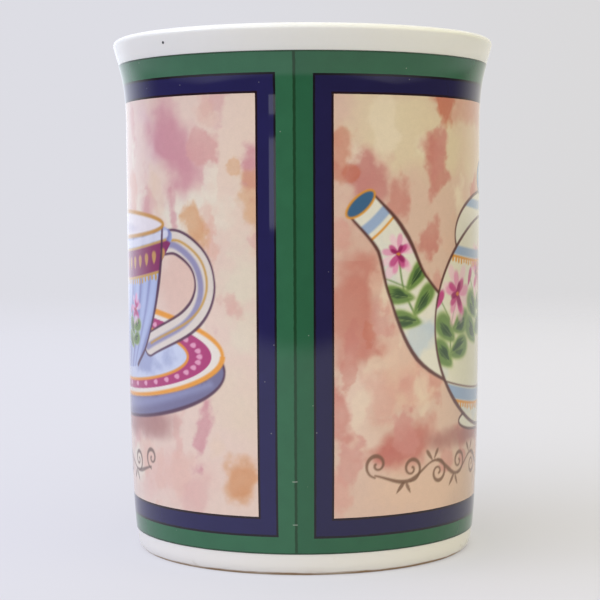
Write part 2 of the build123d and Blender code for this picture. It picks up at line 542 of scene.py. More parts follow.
def foot_and_rim(r, colour):
    """The body near its foot and rim: a slightly darker, warmer colour low on the foot that is painted shade,
    grime and spots near the foot, its bare stained edge, and a mark on the rim.

    Returns the colour, and the height in metres above the wandering edge of the glaze.
    """
    height = r.split(r.place())["Z"]
    level = r.maths("SUBTRACT", height, r.times(r.noise(160, 3.0), 0.0005))
    # Painted shade: the china is made a little darker and warmer below about 5 mm.
    colour = r.mix(r.ramp(height, 0.0055, 0.0035), colour, FOOT_PAINTED_SHADE)
    grime = r.times(r.ramp(level, 0.0020, 0.0002), r.ramp(r.noise(60, 4.0), 0.52, 0.72))
    colour = r.mix(r.times(grime, 0.30), colour, FOOT_GRIME)
    spots = r.times(r.ramp(level, 0.0042, 0.0012), r.ramp(r.noise(240, 4.0), 0.60, 0.72))
    spots = r.times(spots, r.ramp(r.noise(38, 2.0), 0.42, 0.62))
    colour = r.mix(r.times(spots, 0.65), colour, FOOT_SPOT)
    bare = r.ramp(level, 0.0002, -0.00005)
    colour = r.mix(r.times(bare, 0.85), colour, BARE_CLAY)
    edge = r.times(r.ramp(level, 0.00046, 0.00016), r.ramp(level, -0.0003, -0.0001))
    dirt = r.ramp(r.noise(95, 4.0), 0.30, 0.62)
    stain = r.times(edge, r.maths("ADD", r.times(dirt, 0.45), 0.5))
    colour = r.mix(stain, colour, FOOT_STAIN)
    ends = {0: r.place(), 1: tuple(RIM_MARK_PLACE)}
    away = r.node("VectorMath", ends, operation="DISTANCE", output="Value")
    away = r.maths("ADD", away, r.times(r.noise(1800, 2.0), 0.0003))
    return r.mix(r.ramp(away, 0.00050, 0.00034), colour, RIM_MARK), level


def china_material(name, bare_foot=False):
    """White china under a clear glaze, with iron specks, and a bare stained foot on the body."""
    r = Recipe(bpy.data.materials.new(name))
    colour = r.mix(r.noise(28, 2.0), CHINA_COOL, CHINA_WARM)
    colour = r.tint(colour, r.noise(900, 2.0), 0.985, 1.01)
    speck = r.node("TexVoronoi", {"Vector": r.place(), "Scale": 170.0})
    chance = r.node("SeparateColor", {"Color": speck.node.outputs["Color"]})
    dot = r.times(r.ramp(speck, 0.035, 0.02), r.maths("GREATER_THAN", chance, 0.985))
    colour = r.mix(r.times(dot, 0.6), colour, IRON_SPECK)
    coat = 1.0
    roughness = 0.3
    if bare_foot:
        colour, level = foot_and_rim(r, colour)
        coat = r.ramp(level, 0.0, 0.0003)
        roughness = r.ramp(level, 0.0, 0.0003, 0.75, 0.3)
    return r.glazed(colour, {
        "Roughness": roughness, "Coat Weight": coat, "Coat Roughness": 0.10, "Normal": glaze_bump(r),
        "Subsurface Weight": 0.12, "Subsurface Radius": (1.0, 0.9, 0.75), "Subsurface Scale": 0.002,
    })


def box_distance(r, across, up, rectangle):
    """How far inside a rectangle on the unrolled wall a point is, in millimetres."""
    left, right, low, high = rectangle
    sides = r.maths("MINIMUM", r.maths("SUBTRACT", across, left), r.maths("SUBTRACT", right, across))
    ends = r.maths("MINIMUM", r.maths("SUBTRACT", up, low), r.maths("SUBTRACT", high, up))
    return r.maths("MINIMUM", sides, ends)


def band_material(name, ink, outer, line_ink, line_width, inner=None, inner_ink=None, ticks=()):
    """A flat printed band with a drawn line along its outer edge and, if asked, its inner edge."""
    r = Recipe(bpy.data.materials.new(name))
    sheet = r.node("Attribute", attribute_name="sheet", output="Vector")
    wobble = r.node("TexNoise", {"Vector": sheet, "Scale": 0.9, "Detail": 3.0}, output="Color")
    wobble = r.node("VectorMath", {0: wobble, 1: (0.5, 0.5, 0.5)}, operation="SUBTRACT")
    wobble = r.node("VectorMath", {0: wobble, "Scale": 0.22}, operation="SCALE")
    across, up, _ = r.split(r.node("VectorMath", {0: sheet, 1: wobble}, operation="ADD"))
    cloudy = r.noise(0.22, 4.0, sheet, 0.5)
    grain = r.noise(5.5, 3.0, sheet, 0.5)
    colour = r.tint(r.tint(ink, cloudy, 0.86, 1.14), grain, 0.88, 1.12)
    hole = r.node("TexVoronoi", {"Vector": sheet, "Scale": 0.34})
    colour = r.mix(r.times(r.ramp(hole, 0.045, 0.025), 0.35), colour, PINHOLE)

    def drawn(colour, depth, ink):
        soft = 0.10
        return r.mix(r.ramp(depth, line_width + soft, line_width - soft), colour, ink)

    colour = drawn(colour, box_distance(r, across, up, outer), line_ink)
    if inner:
        colour = drawn(colour, r.times(box_distance(r, across, up, inner), -1.0), inner_ink)
    for rectangle in ticks:
        inside = r.ramp(box_distance(r, across, up, rectangle), -0.05, 0.10)
        colour = r.mix(r.times(inside, 0.55), colour, TICK_INK)
    return r.printed(colour, grain, 0.08)


def picture_material(name):
    """Watercolour inks under the glaze: the painted colour with paper tooth and pigment grain."""
    r = Recipe(bpy.data.materials.new(name))
    paint = r.node("Attribute", attribute_name="ink", output="Color")
    sheet = r.node("Attribute", attribute_name="sheet", output="Vector")
    tooth = r.noise(3.2, 4.0, sheet, 0.65)
    pigment = r.noise(0.8, 5.0, sheet, 0.5)
    return r.printed(r.tint(r.tint(paint, tooth, 0.94, 1.06), pigment, 0.95, 1.05), tooth, 0.05)


# ---- Painting on the unrolled wall: millimetres, and display colours from 0 to 255 ----

def smooth(value, low, high):
    """A smooth step from 0 to 1 as value goes from low to high."""
    t = np.clip((value - low) / (high - low), 0, 1)
    return t * t * (3 - 2 * t)


def cloud(across, up, size, seed, octaves=4):
    """Smooth random values from about -1 to 1 that vary over a size in millimetres."""
    cells, origin = 88, 500
    total = np.zeros(np.broadcast(across, up).shape)
    weight, weights = 1.0, 0.0
    for octave in range(octaves):
        lattice = np.random.default_rng([seed, octave]).random((cells + 1, cells + 1)) * 2 - 1
        a = (across + origin) / size * 2 ** octave
        b = (up + origin) / size * 2 ** octave
        i, j = np.floor(a).astype(int), np.floor(b).astype(int)
        s, t = smooth(a - i, 0, 1), smooth(b - j, 0, 1)
        i, j = i % cells, j % cells
        low = lattice[i, j] * (1 - s) + lattice[i + 1, j] * s
        high = lattice[i, j + 1] * (1 - s) + lattice[i + 1, j + 1] * s
        total += weight * (low * (1 - t) + high * t)
        weights += weight
        weight *= 0.55
    return total / weights * 1.6


def through(points, closed=False, fine=8):
    """A smooth line through points, each gap cut into a number of short runs."""
    p = np.array(points, float)
    if closed:
        p = np.concatenate([p[-1:], p, p[:2]])
    else:
        p = np.concatenate([2 * p[:1] - p[1:2], p, 2 * p[-1:] - p[-2:-1]])
    t = np.linspace(0, 1, fine, endpoint=False)[:, None]
    runs = [
        0.5 * (
            2 * b + (c - a) * t + (2 * a - 5 * b + 4 * c - d) * t ** 2
            + (3 * b - a - 3 * c + d) * t ** 3
        )
        for a, b, c, d in zip(p, p[1:], p[2:], p[3:])
    ]
    if not closed:
        runs.append(p[-2:-1])
    return np.concatenate(runs)


class Painting:
    """A picture painted on a grid of points, from the ground up."""

    def __init__(self, across, up, ground):
        self.columns, self.rows = across, up
        self.across, self.up = np.meshgrid(across, up)
        self.colour = np.empty(self.across.shape + (3,))
        self.colour[:] = ground
        self.mask = np.ones(self.across.shape)
        self.seed = 0

    def window(self, points, margin):
        """The part of the grid that points and a margin round them can reach."""
        low, high = np.min(points, 0) - margin, np.max(points, 0) + margin
        i0, i1 = np.searchsorted(self.rows, (low[1], high[1]))
        j0, j1 = np.searchsorted(self.columns, (low[0], high[0]))
        return slice(i0, i1), slice(j0, j1)

    def around(self, centre, reach, angle):
        """The window round a centre, and how far its points lie along and across a direction."""
        where = self.window([centre], reach)
        x, y = self.across[where] - centre[0], self.up[where] - centre[1]
        c, s = cos_sin(angle)
        return where, c * x + s * y, c * y - s * x

    def lay(self, where, cover, ink):
        cover = (cover * self.mask[where])[..., None]
        self.colour[where] += cover * (np.asarray(ink, float) - self.colour[where])

    def measure(self, where, line, closed=False):
        """For each point: its distance from a line, how far along it that is, and if it is inside."""
        x, y = self.across[where], self.up[where]
        nearest = np.full(x.shape, 1e9)
        place = np.zeros(x.shape)
        inside = np.zeros(x.shape, bool)
        ends = np.roll(line, -1, 0) if closed else line[1:]
        count = len(ends)
        for k, (a, b) in enumerate(zip(line, ends)):
            run = b - a
            t = np.clip(((x - a[0]) * run[0] + (y - a[1]) * run[1]) / max(run @ run, 1e-9), 0, 1)
            distance = np.hypot(x - a[0] - t * run[0], y - a[1] - t * run[1])
            closer = distance < nearest
            nearest[closer] = distance[closer]
            place[closer] = (k + t[closer]) / count
            if a[1] != b[1]:
                crosses = (y < a[1]) != (y < b[1])
                inside ^= crosses & (x < a[0] + (y - a[1]) * run[0] / run[1])
        return nearest, place, inside

    def fill(self, points, ink, sharp=False):
        """A filled outline. Returns where it lies and how much it covers."""
        soft = 0.12
        line = np.array(points, float) if sharp else through(points, closed=True)
        where = self.window(line, soft + 0.3)
        distance, _, inside = self.measure(where, line, closed=True)
        cover = smooth(np.where(inside, distance, -distance), -soft, soft)
        self.lay(where, cover, ink)
        return where, cover

    def inside_of(self, points, ink, sharp=False):
        """A filled outline that the next strokes are kept inside."""
        where, cover = self.fill(points, ink, sharp)
        self.mask = np.zeros(self.across.shape)
        self.mask[where] = cover

    def anywhere(self):
        """Lets the next strokes lie anywhere again."""
        self.mask = np.ones(self.across.shape)

    def stroke(self, points, width, ink, cover=0.9, soft=0.2, closed=False, sharp=False):
        """A drawn line. Its width is one number, or several spread along it."""
        line = np.array(points, float) if sharp else through(points, closed)
        width = np.atleast_1d(np.asarray(width, float))
        where = self.window(line, width.max() / 2 + soft + 0.3)
        distance, place, _ = self.measure(where, line, closed)
        half = np.interp(place, np.linspace(0, 1, len(width)), width) / 2
        self.lay(where, cover * smooth(half - distance, -soft, soft), ink)

    def wash(self, centre, size, ink, cover=0.6, angle=0.0, rough=0.5, edge=0.7, cell=None):
        """A pool of watercolour with a wandering edge and a little more pigment at its rim."""
        spread, rim = 1.25, 0.04
        self.seed += 1
        size = (spread * size[0], spread * size[1])
        where, along, side = self.around(centre, max(size) * 1.8, angle)
        cell = cell or 0.9 * min(size) + 0.6
        wander = cloud(self.across[where], self.up[where], cell, self.seed)
        depth = 1 - np.hypot(along / size[0], side / size[1]) + rough * wander
        body = smooth(depth, 0, edge)
        ring = body * (1 - smooth(depth, edge * 0.6, edge * 2.0))
        inside = cloud(self.across[where], self.up[where], cell * 1.7, self.seed + 500, 5)
        strength = cover * (body * (0.86 + 0.22 * inside) + rim * ring)
        self.lay(where, np.clip(strength, 0, 1), ink)

    def dab(self, centre, length, width, angle, ink, cover=0.9, soft=0.25):
        """One touch of the brush: a drop, wider at its far end."""
        where, along, side = self.around(centre, length, angle)
        along, side = along / (0.7 * length), side / (0.7 * width)
        side = side / (0.75 + 0.35 * np.clip(along, -1, 1))
        self.lay(where, cover * smooth(1 - np.hypot(along, side), 0, soft), ink)


INK = {
    "pale pink": (236, 186, 204), "pink": (220, 130, 170), "magenta": (184, 58, 120),
    "deep magenta": (144, 34, 88), "gold": (216, 144, 56), "green": (96, 126, 62),
    "dark green": (48, 72, 44), "light green": (160, 176, 104), "shade": (188, 198, 206),
    "white": (222, 216, 201), "blue": (146, 166, 198), "lilac": (116, 112, 142),
    "brown": (84, 48, 44), "plum": (82, 54, 74), "band": (134, 52, 94),
}
LEFT_GROUND, RIGHT_GROUND = (230, 206, 192), (218, 178, 148)
CUP_SEED, TEAPOT_SEED = 13, 11
# The widths of a line drawn by hand, spread along it.
HAND_DRAWN = (0.45, 0.85, 0.5, 0.7, 0.4, 0.9, 0.55, 0.75, 0.4)


def ellipse(centre, half_width, half_height, count=36, tilt=0.0):
    """Points round an ellipse, tilted by an angle in degrees."""
    c, s = cos_sin(tilt)
    turns = np.arange(count) * 2 * math.pi / count
    x, y = half_width * np.cos(turns), half_height * np.sin(turns)
    return [(centre[0] + c * a - s * b, centre[1] + s * a + c * b) for a, b in zip(x, y)]


def outlined(p, shape, ink, width, line, *how):
    """A filled shape with a line round it."""
    p.fill(shape, ink)
    p.stroke(shape, width, line, *how, closed=True)


def sagging(middle, half_width, height, sag, count=17):
    """A line across a round body, lower in the middle."""
    return [(middle + half_width * t, height - sag * (1 - t * t)) for t in np.linspace(-1, 1, count)]


def tapered(points, widths):
    """The outline of a tube that follows points, its widths spread along it."""
    line = through(points)
    run = np.gradient(line, axis=0)
    side = np.stack([-run[:, 1], run[:, 0]], 1) / np.linalg.norm(run, axis=1)[:, None]
    half = np.interp(np.linspace(0, 1, len(line)), np.linspace(0, 1, len(widths)), widths)[:, None] / 2
    return np.concatenate([line + side * half, (line - side * half)[::-1]])


def lay_washes(p, washes):
    """Soft pools of colour: centre, half sizes, ink, how strong, and the angle if there is one."""
    for wash in washes:
        p.wash(*wash, edge=0.75)


def paint_ground(p, washes, palette, seed, count, first, last):
    """A watercolour ground: a few broad washes, then many small ones strewn at random."""
    lay_washes(p, washes)
    pick = np.random.default_rng(seed)
    for _ in range(count):
        centre = (pick.uniform(first, last), pick.uniform(12, 92))
        size = (pick.uniform(1.0, 3.4), pick.uniform(2.0, 6.4))
        ink = palette[pick.integers(len(palette))]
        cover, angle, edge = pick.uniform(0.4, 0.85), pick.uniform(-22, 22), pick.uniform(0.35, 0.8)
        p.wash(centre, size, ink, cover, angle, edge=edge)


def flower(p, centre, size, seed):
    """A loose open flower of brush dabs, pale outside and deep inside."""
    pick = np.random.default_rng(seed)
    for layer, ink in enumerate(["pale pink", "pink", "magenta", "deep magenta"]):
        for k in range(6 - layer):
            angle = 360 * k / (6 - layer) + pick.uniform(-24, 24) + 20 * layer
            reach = size * (0.52 - 0.12 * layer) * pick.uniform(0.8, 1.15)
            c, s = cos_sin(angle)
            spot = (centre[0] + reach * c * 0.8, centre[1] + reach * s)
            length = size * (0.72 - 0.10 * layer) * pick.uniform(0.8, 1.1)
            p.dab(spot, length, length * 0.52, angle, INK[ink], 0.62 + 0.08 * layer, 0.45)
    p.dab(centre, size * 0.16, size * 0.14, 0, INK["gold"], 0.8, 0.5)


def leaf(p, root, tip, width, seed):
    """A leaf from root to tip: a pale edge, a green body, and dark strokes along its veins."""
    pick = np.random.default_rng(seed)
    root, tip = np.array(root, float), np.array(tip, float)
    run = tip - root
    length = float(np.linalg.norm(run))
    angle = math.degrees(math.atan2(run[1], run[0]))
    middle = tuple((root + tip) / 2)
    p.dab(middle, length * 1.16, width * 1.22, angle, INK["light green"], 0.72, 0.4)
    p.dab(middle, length, width, angle, INK["green"], 0.85, 0.35)
    side = np.array([-run[1], run[0]]) / length
    for _ in range(4):
        offset = side * width * pick.uniform(-0.26, 0.26)
        start = root + run * pick.uniform(0.12, 0.3) + offset * 0.4
        end = tip - run * pick.uniform(0.1, 0.3) + offset
        vein = [start, (start + end) / 2 + offset * 0.3, end]
        p.stroke(vein, (width * 0.10, width * 0.24, 0.05), INK["dark green"], 0.62, 0.18)
    vein = [root, root + run * 0.5 + side * 0.1, tip - run * 0.14]
    p.stroke(vein, (0.16, 0.1), INK["light green"], 0.5, 0.10)


def sprig(p, root, tip, size, seed):
    """A stem with a leaf to each side, a bud, and a flower at its tip."""
    root, tip = np.array(root, float), np.array(tip, float)
    run = tip - root
    side = np.array([-run[1], run[0]])
    p.stroke([root, root + run * 0.5 + side * 0.08, tip], (0.5, 0.3), INK["green"], 0.85, 0.2)
    for k, (at, way) in enumerate([(0.0, 1), (0.14, -1), (0.36, 1), (0.5, -1)]):
        start = root + run * at
        end = start + run * 0.22 + side * way * 0.40
        leaf(p, start, end, size * 0.66, seed + k)
    bud = root + run * 0.86 + side * 0.42
    p.stroke([root + run * 0.5, bud], 0.25, INK["green"], 0.8, 0.2)
    p.dab(tuple(bud), size * 0.5, size * 0.28, 60, INK["magenta"], 0.9, 0.45)
    flower(p, tuple(tip), size, seed)


def scallops(p, line, drop, spacing, ink):
    """A row of small hanging dabs under a thin line of the same ink."""
    p.stroke(line, drop * 0.4, ink, 0.95, 0.16)
    points = np.array(line)
    pick = np.random.default_rng(len(points))
    for x in np.arange(points[0, 0], points[-1, 0], spacing):
        y = np.interp(x, points[:, 0], points[:, 1])
        length = drop * pick.uniform(0.8, 1.2)
        p.dab((x, y - length * 0.42), length, drop * 0.62, -90, ink, 0.9, 0.35)


def shifted(points, across, up):
    """Points moved by a distance."""
    return [(x + across, y + up) for x, y in points]


def curl(centre, radius, start, turns):
    """A spiral from its outer end inwards. The start and the turns, which may be negative, are in degrees."""
    t = np.linspace(0, 1, 18)
    turn = np.radians(start + turns * t)
    reach = radius * (1 - 0.86 * t)
    return [(centre[0] + r * math.cos(a), centre[1] + r * math.sin(a)) for r, a in zip(reach, turn)]


def scrollwork(p, start, step, waves, count, ink, size):
    """An ornament under the picture: a waving stem with a spiral and two leaves at each bend."""
    spine = [(start[0] + step * k, start[1] + waves[k % 2] * (k > 0)) for k in range(count)]
    p.stroke(spine, (0.3, 0.8, 0.35, 0.85, 0.35, 0.8, 0.35, 0.8, 0.3), ink, 0.8, 0.2)
    for k, (x, y) in enumerate(spine[1:-1]):
        up = 1 if y > spine[k][1] else -1
        spiral = curl((x + 0.9, y - up * size * 0.95), size, up * 95, -up * 500)
        p.stroke(spiral, (0.35, 0.75, 0.4, 0.5), ink, 0.8, 0.18)
        p.dab((x - 1.7, y + up * 1.1), 2.4, 0.9, 90 + up * 40, ink, 0.75, 0.4)
        p.dab((x + 0.2, y + up * 1.3), 2.0, 0.8, 90 - up * 30, ink, 0.7, 0.4)
    first = curl((spine[0][0] + 0.4, spine[0][1] + size * 0.8), size, -100, -460)
    p.stroke(first, (0.3, 0.8, 0.4, 0.5), ink, 0.8, 0.18)


def paint_teapot(p):
    """A plain round teapot in white, with sprigs, blue bands and gold lines."""
    paint_ground(p, [
        ((26, 82), (22, 11), (224, 200, 154), 0.9), ((66, 80), (22, 12), (222, 192, 148), 0.9),
        ((44, 90), (14, 4), (210, 152, 124), 0.8), ((12, 74), (5, 7), (196, 120, 106), 0.85),
        ((12, 52), (7, 13), (198, 118, 96), 0.9), ((11, 31), (6, 11), (228, 192, 162), 0.9),
        ((24, 36), (7, 6), (224, 176, 142), 0.8), ((24, 26), (8, 6), (192, 106, 88), 0.9),
        ((30, 15), (22, 5), (224, 182, 148), 0.85), ((70, 15), (24, 5), (222, 180, 148), 0.85),
        ((88, 54), (7, 20), (206, 132, 110), 0.85), ((82, 28), (10, 9), (214, 154, 126), 0.8),
    ], [
        (198, 118, 100), (206, 134, 116), (216, 152, 128), (224, 178, 146), (232, 206, 168), (194, 104, 76),
        (234, 214, 176),
    ], TEAPOT_SEED, count=120, first=7, last=94)
    p.colour *= (0.98, 1.02, 1.10)
    middle, white, brown, gold, blue = 52, INK["white"], INK["brown"], INK["gold"], INK["blue"]
    p.wash((48, 24.6), (22, 2.6), (164, 108, 100), 0.9, 0, 0.3, cell=9)

    handle = [(70, 60), (79, 63), (86, 59), (87, 50), (81, 43), (71, 39)]
    p.stroke(handle, (5.6, 4.8, 5.4), brown, 0.95, 0.15)
    p.stroke(handle, (4.6, 3.8, 4.4), white, 1.0, 0.15)
    p.stroke(shifted(handle, 0.4, 0.4), 0.6, gold, 0.85, 0.18)

    outlined(p, ellipse((middle, 27.4), 14, 2.6), white, 0.5, brown, 0.85, 0.18)
    lid = ellipse((middle, 64.0), 16, 8.6)
    p.inside_of(lid, white)
    p.stroke(sagging(middle, 16, 71.4, 1.6), 1.8, blue, 0.95, 0.3)
    p.anywhere()
    p.stroke(lid, HAND_DRAWN, brown, 0.85, 0.2, closed=True)
    knob = ellipse((middle, 75.4), 3.6, 3.2)
    p.fill(knob, blue)
    p.wash((middle - 1.2, 76.4), (1.6, 1.2), INK["shade"], 0.9, 0)
    p.stroke(knob, 0.4, brown, 0.8, 0.16, closed=True)

    spout = tapered([(37, 43), (29, 46), (22.8, 54), (18.8, 63), (12.6, 69.8)], (17, 14, 9.4, 6.8, 6.2))
    p.inside_of(spout, white, sharp=True)
    p.wash((24.6, 44.4), (5.0, 3.8), INK["shade"], 0.9, 30)
    p.wash((19.4, 55.0), (1.4, 8.0), (208, 208, 202), 0.8, 20)
    sprig(p, (25.0, 47.6), (20.2, 60.6), 5.4, 5)
    p.stroke([(12.4, 64.4), (15.2, 66.6), (18.2, 69.6)], 2.0, blue, 0.92, 0.3)
    p.stroke([(13.6, 62.6), (16.6, 65.0), (19.6, 68.0)], 0.45, gold)
    p.anywhere()
    p.stroke(spout, HAND_DRAWN, brown, closed=True, sharp=True)
    outlined(p, ellipse((12.4, 70.0), 3.5, 1.5, tilt=42), (62, 98, 132), 0.45, gold)

    belly = ellipse((middle, 46.5), 22.5, 21)
    p.inside_of(belly, white)
    lay_washes(p, [
        ((36, 58), (9, 8), (226, 218, 196), 0.8), ((42, 42), (14, 12), (216, 212, 184), 0.8),
        ((71, 50), (5, 15), INK["shade"], 0.75), ((62, 36), (9, 6), (212, 214, 204), 0.7),
        ((31.4, 44), (1.8, 9), (206, 208, 200), 0.8, 8), ((45, 30.5), (16, 2.6), (200, 204, 206), 0.8, -4),
    ])
    for x, y in [(36, 39), (48, 43), (60, 39), (71, 43)]:
        sprig(p, (x - 1.5, y), (x + 1.0, y + 13.5), 7.2, x)
    low = sagging(middle, 22.5, 35, 3.4)
    p.stroke(low, 2.4, blue, 0.95, 0.25)
    p.stroke(shifted(low, 0, 1.6), 0.35, brown, 0.7, 0.16)
    scallops(p, shifted(low, 0, -1.6), 1.3, 1.15, gold)
    high = sagging(middle, 22.5, 62.5, 2.6)
    p.stroke(high, 1.8, blue, 0.95, 0.3)
    scallops(p, shifted(high, 0, -1.3), 1.2, 1.15, gold)
    p.anywhere()
    p.stroke(belly, HAND_DRAWN, brown, closed=True)

    # Painted shade: the picture is made a little darker towards its right end, below the lid.
    far = smooth(p.across, 30, 43) * smooth(p.up, 72, 64)
    p.colour *= 1 - 0.08 * far[..., None]
    scrollwork(p, (15.4, 18.8), 7.3, (1.8, -1.6), 8, (110, 78, 58), 2.5)


def paint_saucer(p, middle):
    """A plain round saucer: lilac outside, a magenta band with gold edges, a pale blue well."""
    gold = (226, 148, 56)
    p.wash((middle, 27.6), (28, 3.4), (168, 122, 116), 0.9, 0, 0.3, cell=10)
    under = ellipse((middle, 38.4), 36.2, 10.6)
    p.inside_of(under, INK["lilac"])
    p.stroke(sagging(middle, 33, 36, 5.6), (1.2, 2.2, 1.2), (142, 144, 176), 0.8, 0.8)
    for x in (-20, -31, -44, -58, -72):
        p.wash((x, 33.0 + 0.004 * (x - middle) ** 2), (2.4, 1.6), (88, 82, 112), 0.7, 20)
    p.anywhere()
    p.stroke(under, HAND_DRAWN, INK["plum"], closed=True)
    p.fill(ellipse((middle, 41.4), 36.2, 9.6), (226, 216, 204))
    rim = ellipse((middle, 41.4), 35.8, 9.3)
    p.stroke(rim, (0.7, 1.2, 0.8, 1.3, 0.7, 1.1), gold, 0.95, 0.25, closed=True)
    p.fill(ellipse((middle, 41.3), 33.4, 8.0), (170, 60, 112))
    p.inside_of(ellipse((middle, 41.1), 27.6, 5.9), (196, 202, 220))
    p.wash((middle + 14, 39.6), (9, 3.0), (146, 152, 186), 0.8, 8)
    p.wash((middle - 14, 40.6), (9, 3.4), (164, 172, 206), 0.8, 0)
    p.anywhere()
    p.stroke(ellipse((middle, 41.1), 27.8, 6.0), 0.6, gold, closed=True)
    for centre in ellipse((middle, 41.2), 30.6, 6.9, 40):
        p.dab(centre, 1.4, 1.2, 0, (228, 170, 190), 0.85, 0.5)


def paint_cup(p):
    """A plain tea cup and saucer: pale blue with flutes, magenta bands and gold lines."""
    paint_ground(p, [
        ((-12, 78), (7, 15), (232, 210, 192), 0.9), ((-36, 76), (6, 8), (228, 206, 202), 0.8),
        ((-36, 86), (7, 6), (226, 196, 196), 0.8), ((-22, 68), (9, 4), (232, 226, 208), 0.9),
        ((-10, 52), (4, 16), (228, 216, 196), 0.9), ((-24, 56), (6, 8), (226, 192, 178), 0.8),
        ((-14, 34), (6, 9), (228, 208, 188), 0.9), ((-28, 17), (14, 6), (228, 192, 180), 0.9),
        ((-11, 18), (3.6, 5), (212, 150, 104), 0.85), ((-46, 80), (14, 9), (232, 208, 194), 0.8),
        ((-78, 78), (14, 12), (218, 166, 168), 0.8), ((-88, 50), (6, 20), (228, 204, 184), 0.9),
        ((-70, 18), (18, 7), (226, 188, 174), 0.9), ((-26, 81), (8, 8), (204, 142, 154), 0.85),
    ], [
        (206, 144, 152), (216, 164, 160), (226, 184, 168), (230, 204, 182), (234, 226, 208), (216, 162, 118),
        (222, 176, 166),
    ], CUP_SEED, count=110, first=-94, last=-7)
    p.colour *= (0.965, 0.955, 0.94)
    middle, white, plum, gold = -50, (216, 204, 192), INK["plum"], (194, 150, 82)
    paint_saucer(p, middle)

    handle = [(-31, 62.4), (-24.6, 62.8), (-19.2, 59.0), (-18.2, 53.0), (-22.4, 47.6), (-34.0, 42.8)]
    p.stroke(handle, (4.8, 5.1, 4.7, 5.2, 4.8), plum)
    p.stroke(handle, 4.0, white, 1.0, 0.15)
    p.stroke(shifted(handle, -0.9, -0.5), 1.3, (134, 130, 166), 0.85, 0.35)
    p.stroke(shifted(handle, 0.5, 0.3), 0.5, gold)

    right_side = [(-29, 66), (-29.8, 58), (-32, 49.5), (-35.6, 42.4), (-40, 38.4)]
    left_side = [(2 * middle - x, y) for x, y in right_side[::-1]]
    p.inside_of(right_side + [(middle, 37.4)] + left_side, (150, 160, 198))
    for k in range(-5, 6):
        lean = math.sin(math.radians(17 * k))
        top, low = middle + 21.5 * lean, middle + 9.5 * lean
        waist = (top + low) / 2 + 1.5 * lean
        p.stroke([(top, 66), (waist, 50), (low, 38)], (2.2, 1.8, 0.9), (178, 188, 216), 0.75, 0.8)
        shade = [(top + 1.9, 66), (waist + 1.6, 50), (low + 0.8, 38)]
        p.stroke(shade, (0.9, 0.7, 0.4), (112, 110, 154), 0.75, 0.6)
    band = sagging(middle, 22, 60.5, 2.4)
    p.stroke(band, 5.4, INK["band"], 0.96, 0.25)
    for x, y in sagging(middle, 21, 60.5, 2.3, 15):
        p.dab((x, y), 2.2, 1.7, 90, (198, 152, 92), 0.9, 0.4)
    p.stroke(shifted(band, 0, 2.9), 0.55, gold)
    p.stroke(shifted(band, 0, 4.0), 1.6, (212, 210, 218), 0.9, 0.3)
    scallops(p, shifted(band, 0, -2.9), 1.3, 1.4, gold)
    for x in (-42, -58):
        sprig(p, (x - 1, 42), (x + 1, 49.5), 3.8, -x)
    p.anywhere()
    p.stroke(right_side, (0.5, 0.9, 0.5, 0.8), plum)
    p.stroke(left_side, (0.5, 0.6), plum, 0.85, 0.2)
    mouth = ellipse((middle, 66.3), 21.2, 2.6)
    p.fill(mouth, (222, 213, 214))
    p.wash((middle, 65.6), (15, 1.2), (188, 180, 194), 0.8, 0, 0.3, cell=6)
    p.stroke(mouth, 0.75, (190, 136, 66), 0.92, 0.25, closed=True)
    scrollwork(p, (-34.6, 18.6), -7.3, (1.4, -1.4), 6, (112, 92, 84), 2.3)


def on_side(side, angles):
    """Rising angles to the right of the seam, or their mirror image to the left of it."""
    return np.array(angles) if side > 0 else -np.array(angles)[::-1]


def paint_picture(name, side, height_shift, paint, ground):
    """One sheet's picture: the painted skin, side +1 to the right of the seam and -1 to the left."""
    angles = on_side(side, np.linspace(PICTURE_INSET, SHEET_ANGLE - PICTURE_INSET, PICTURE_COLUMNS))
    heights = np.linspace(*PICTURE_HEIGHTS, PICTURE_ROWS) - height_shift
    painting = Painting(np.radians(angles) * MID_RADIUS, heights, ground)
    paint(painting)
    piece, used = print_skin(name, angles, heights)
    colours = np.ones((len(used), 4), np.float32)
    colours[:, :3] = np.tile(to_light(painting.colour).reshape(-1, 3), (2, 1))[used]
    ink = piece.data.color_attributes.new("ink", "FLOAT_COLOR", "POINT")
    ink.data.foreach_set("color", colours.ravel())
    return piece


def band_steps(*edges):
    """Values through the edges in order, about one millimetre or degree apart."""
    runs = [np.linspace(a, b, max(2, round(abs(b - a))) + 1)[:-1] for a, b in zip(edges, edges[1:])]
    return np.concatenate(runs + [[edges[-1]]])


def sheet_rectangle(side, inset, heights):
    """(left, right, low, high) on the unrolled wall, in millimetres, of a sheet inset by an angle."""
    return (*(np.radians(on_side(side, [inset, SHEET_ANGLE - inset])) * MID_RADIUS), *heights)


def band_skin(name, side, inset, inner_inset, heights, hole_heights):
    """A printed frame on one sheet, between two insets from the sheet's ends."""
    angles = on_side(side, [inset, inner_inset, SHEET_ANGLE - inner_inset, SHEET_ANGLE - inset])
    steps = band_steps(*angles), band_steps(heights[0], *hole_heights, heights[1])
    return print_skin(name, *steps, (angles[1:3], hole_heights))[0]


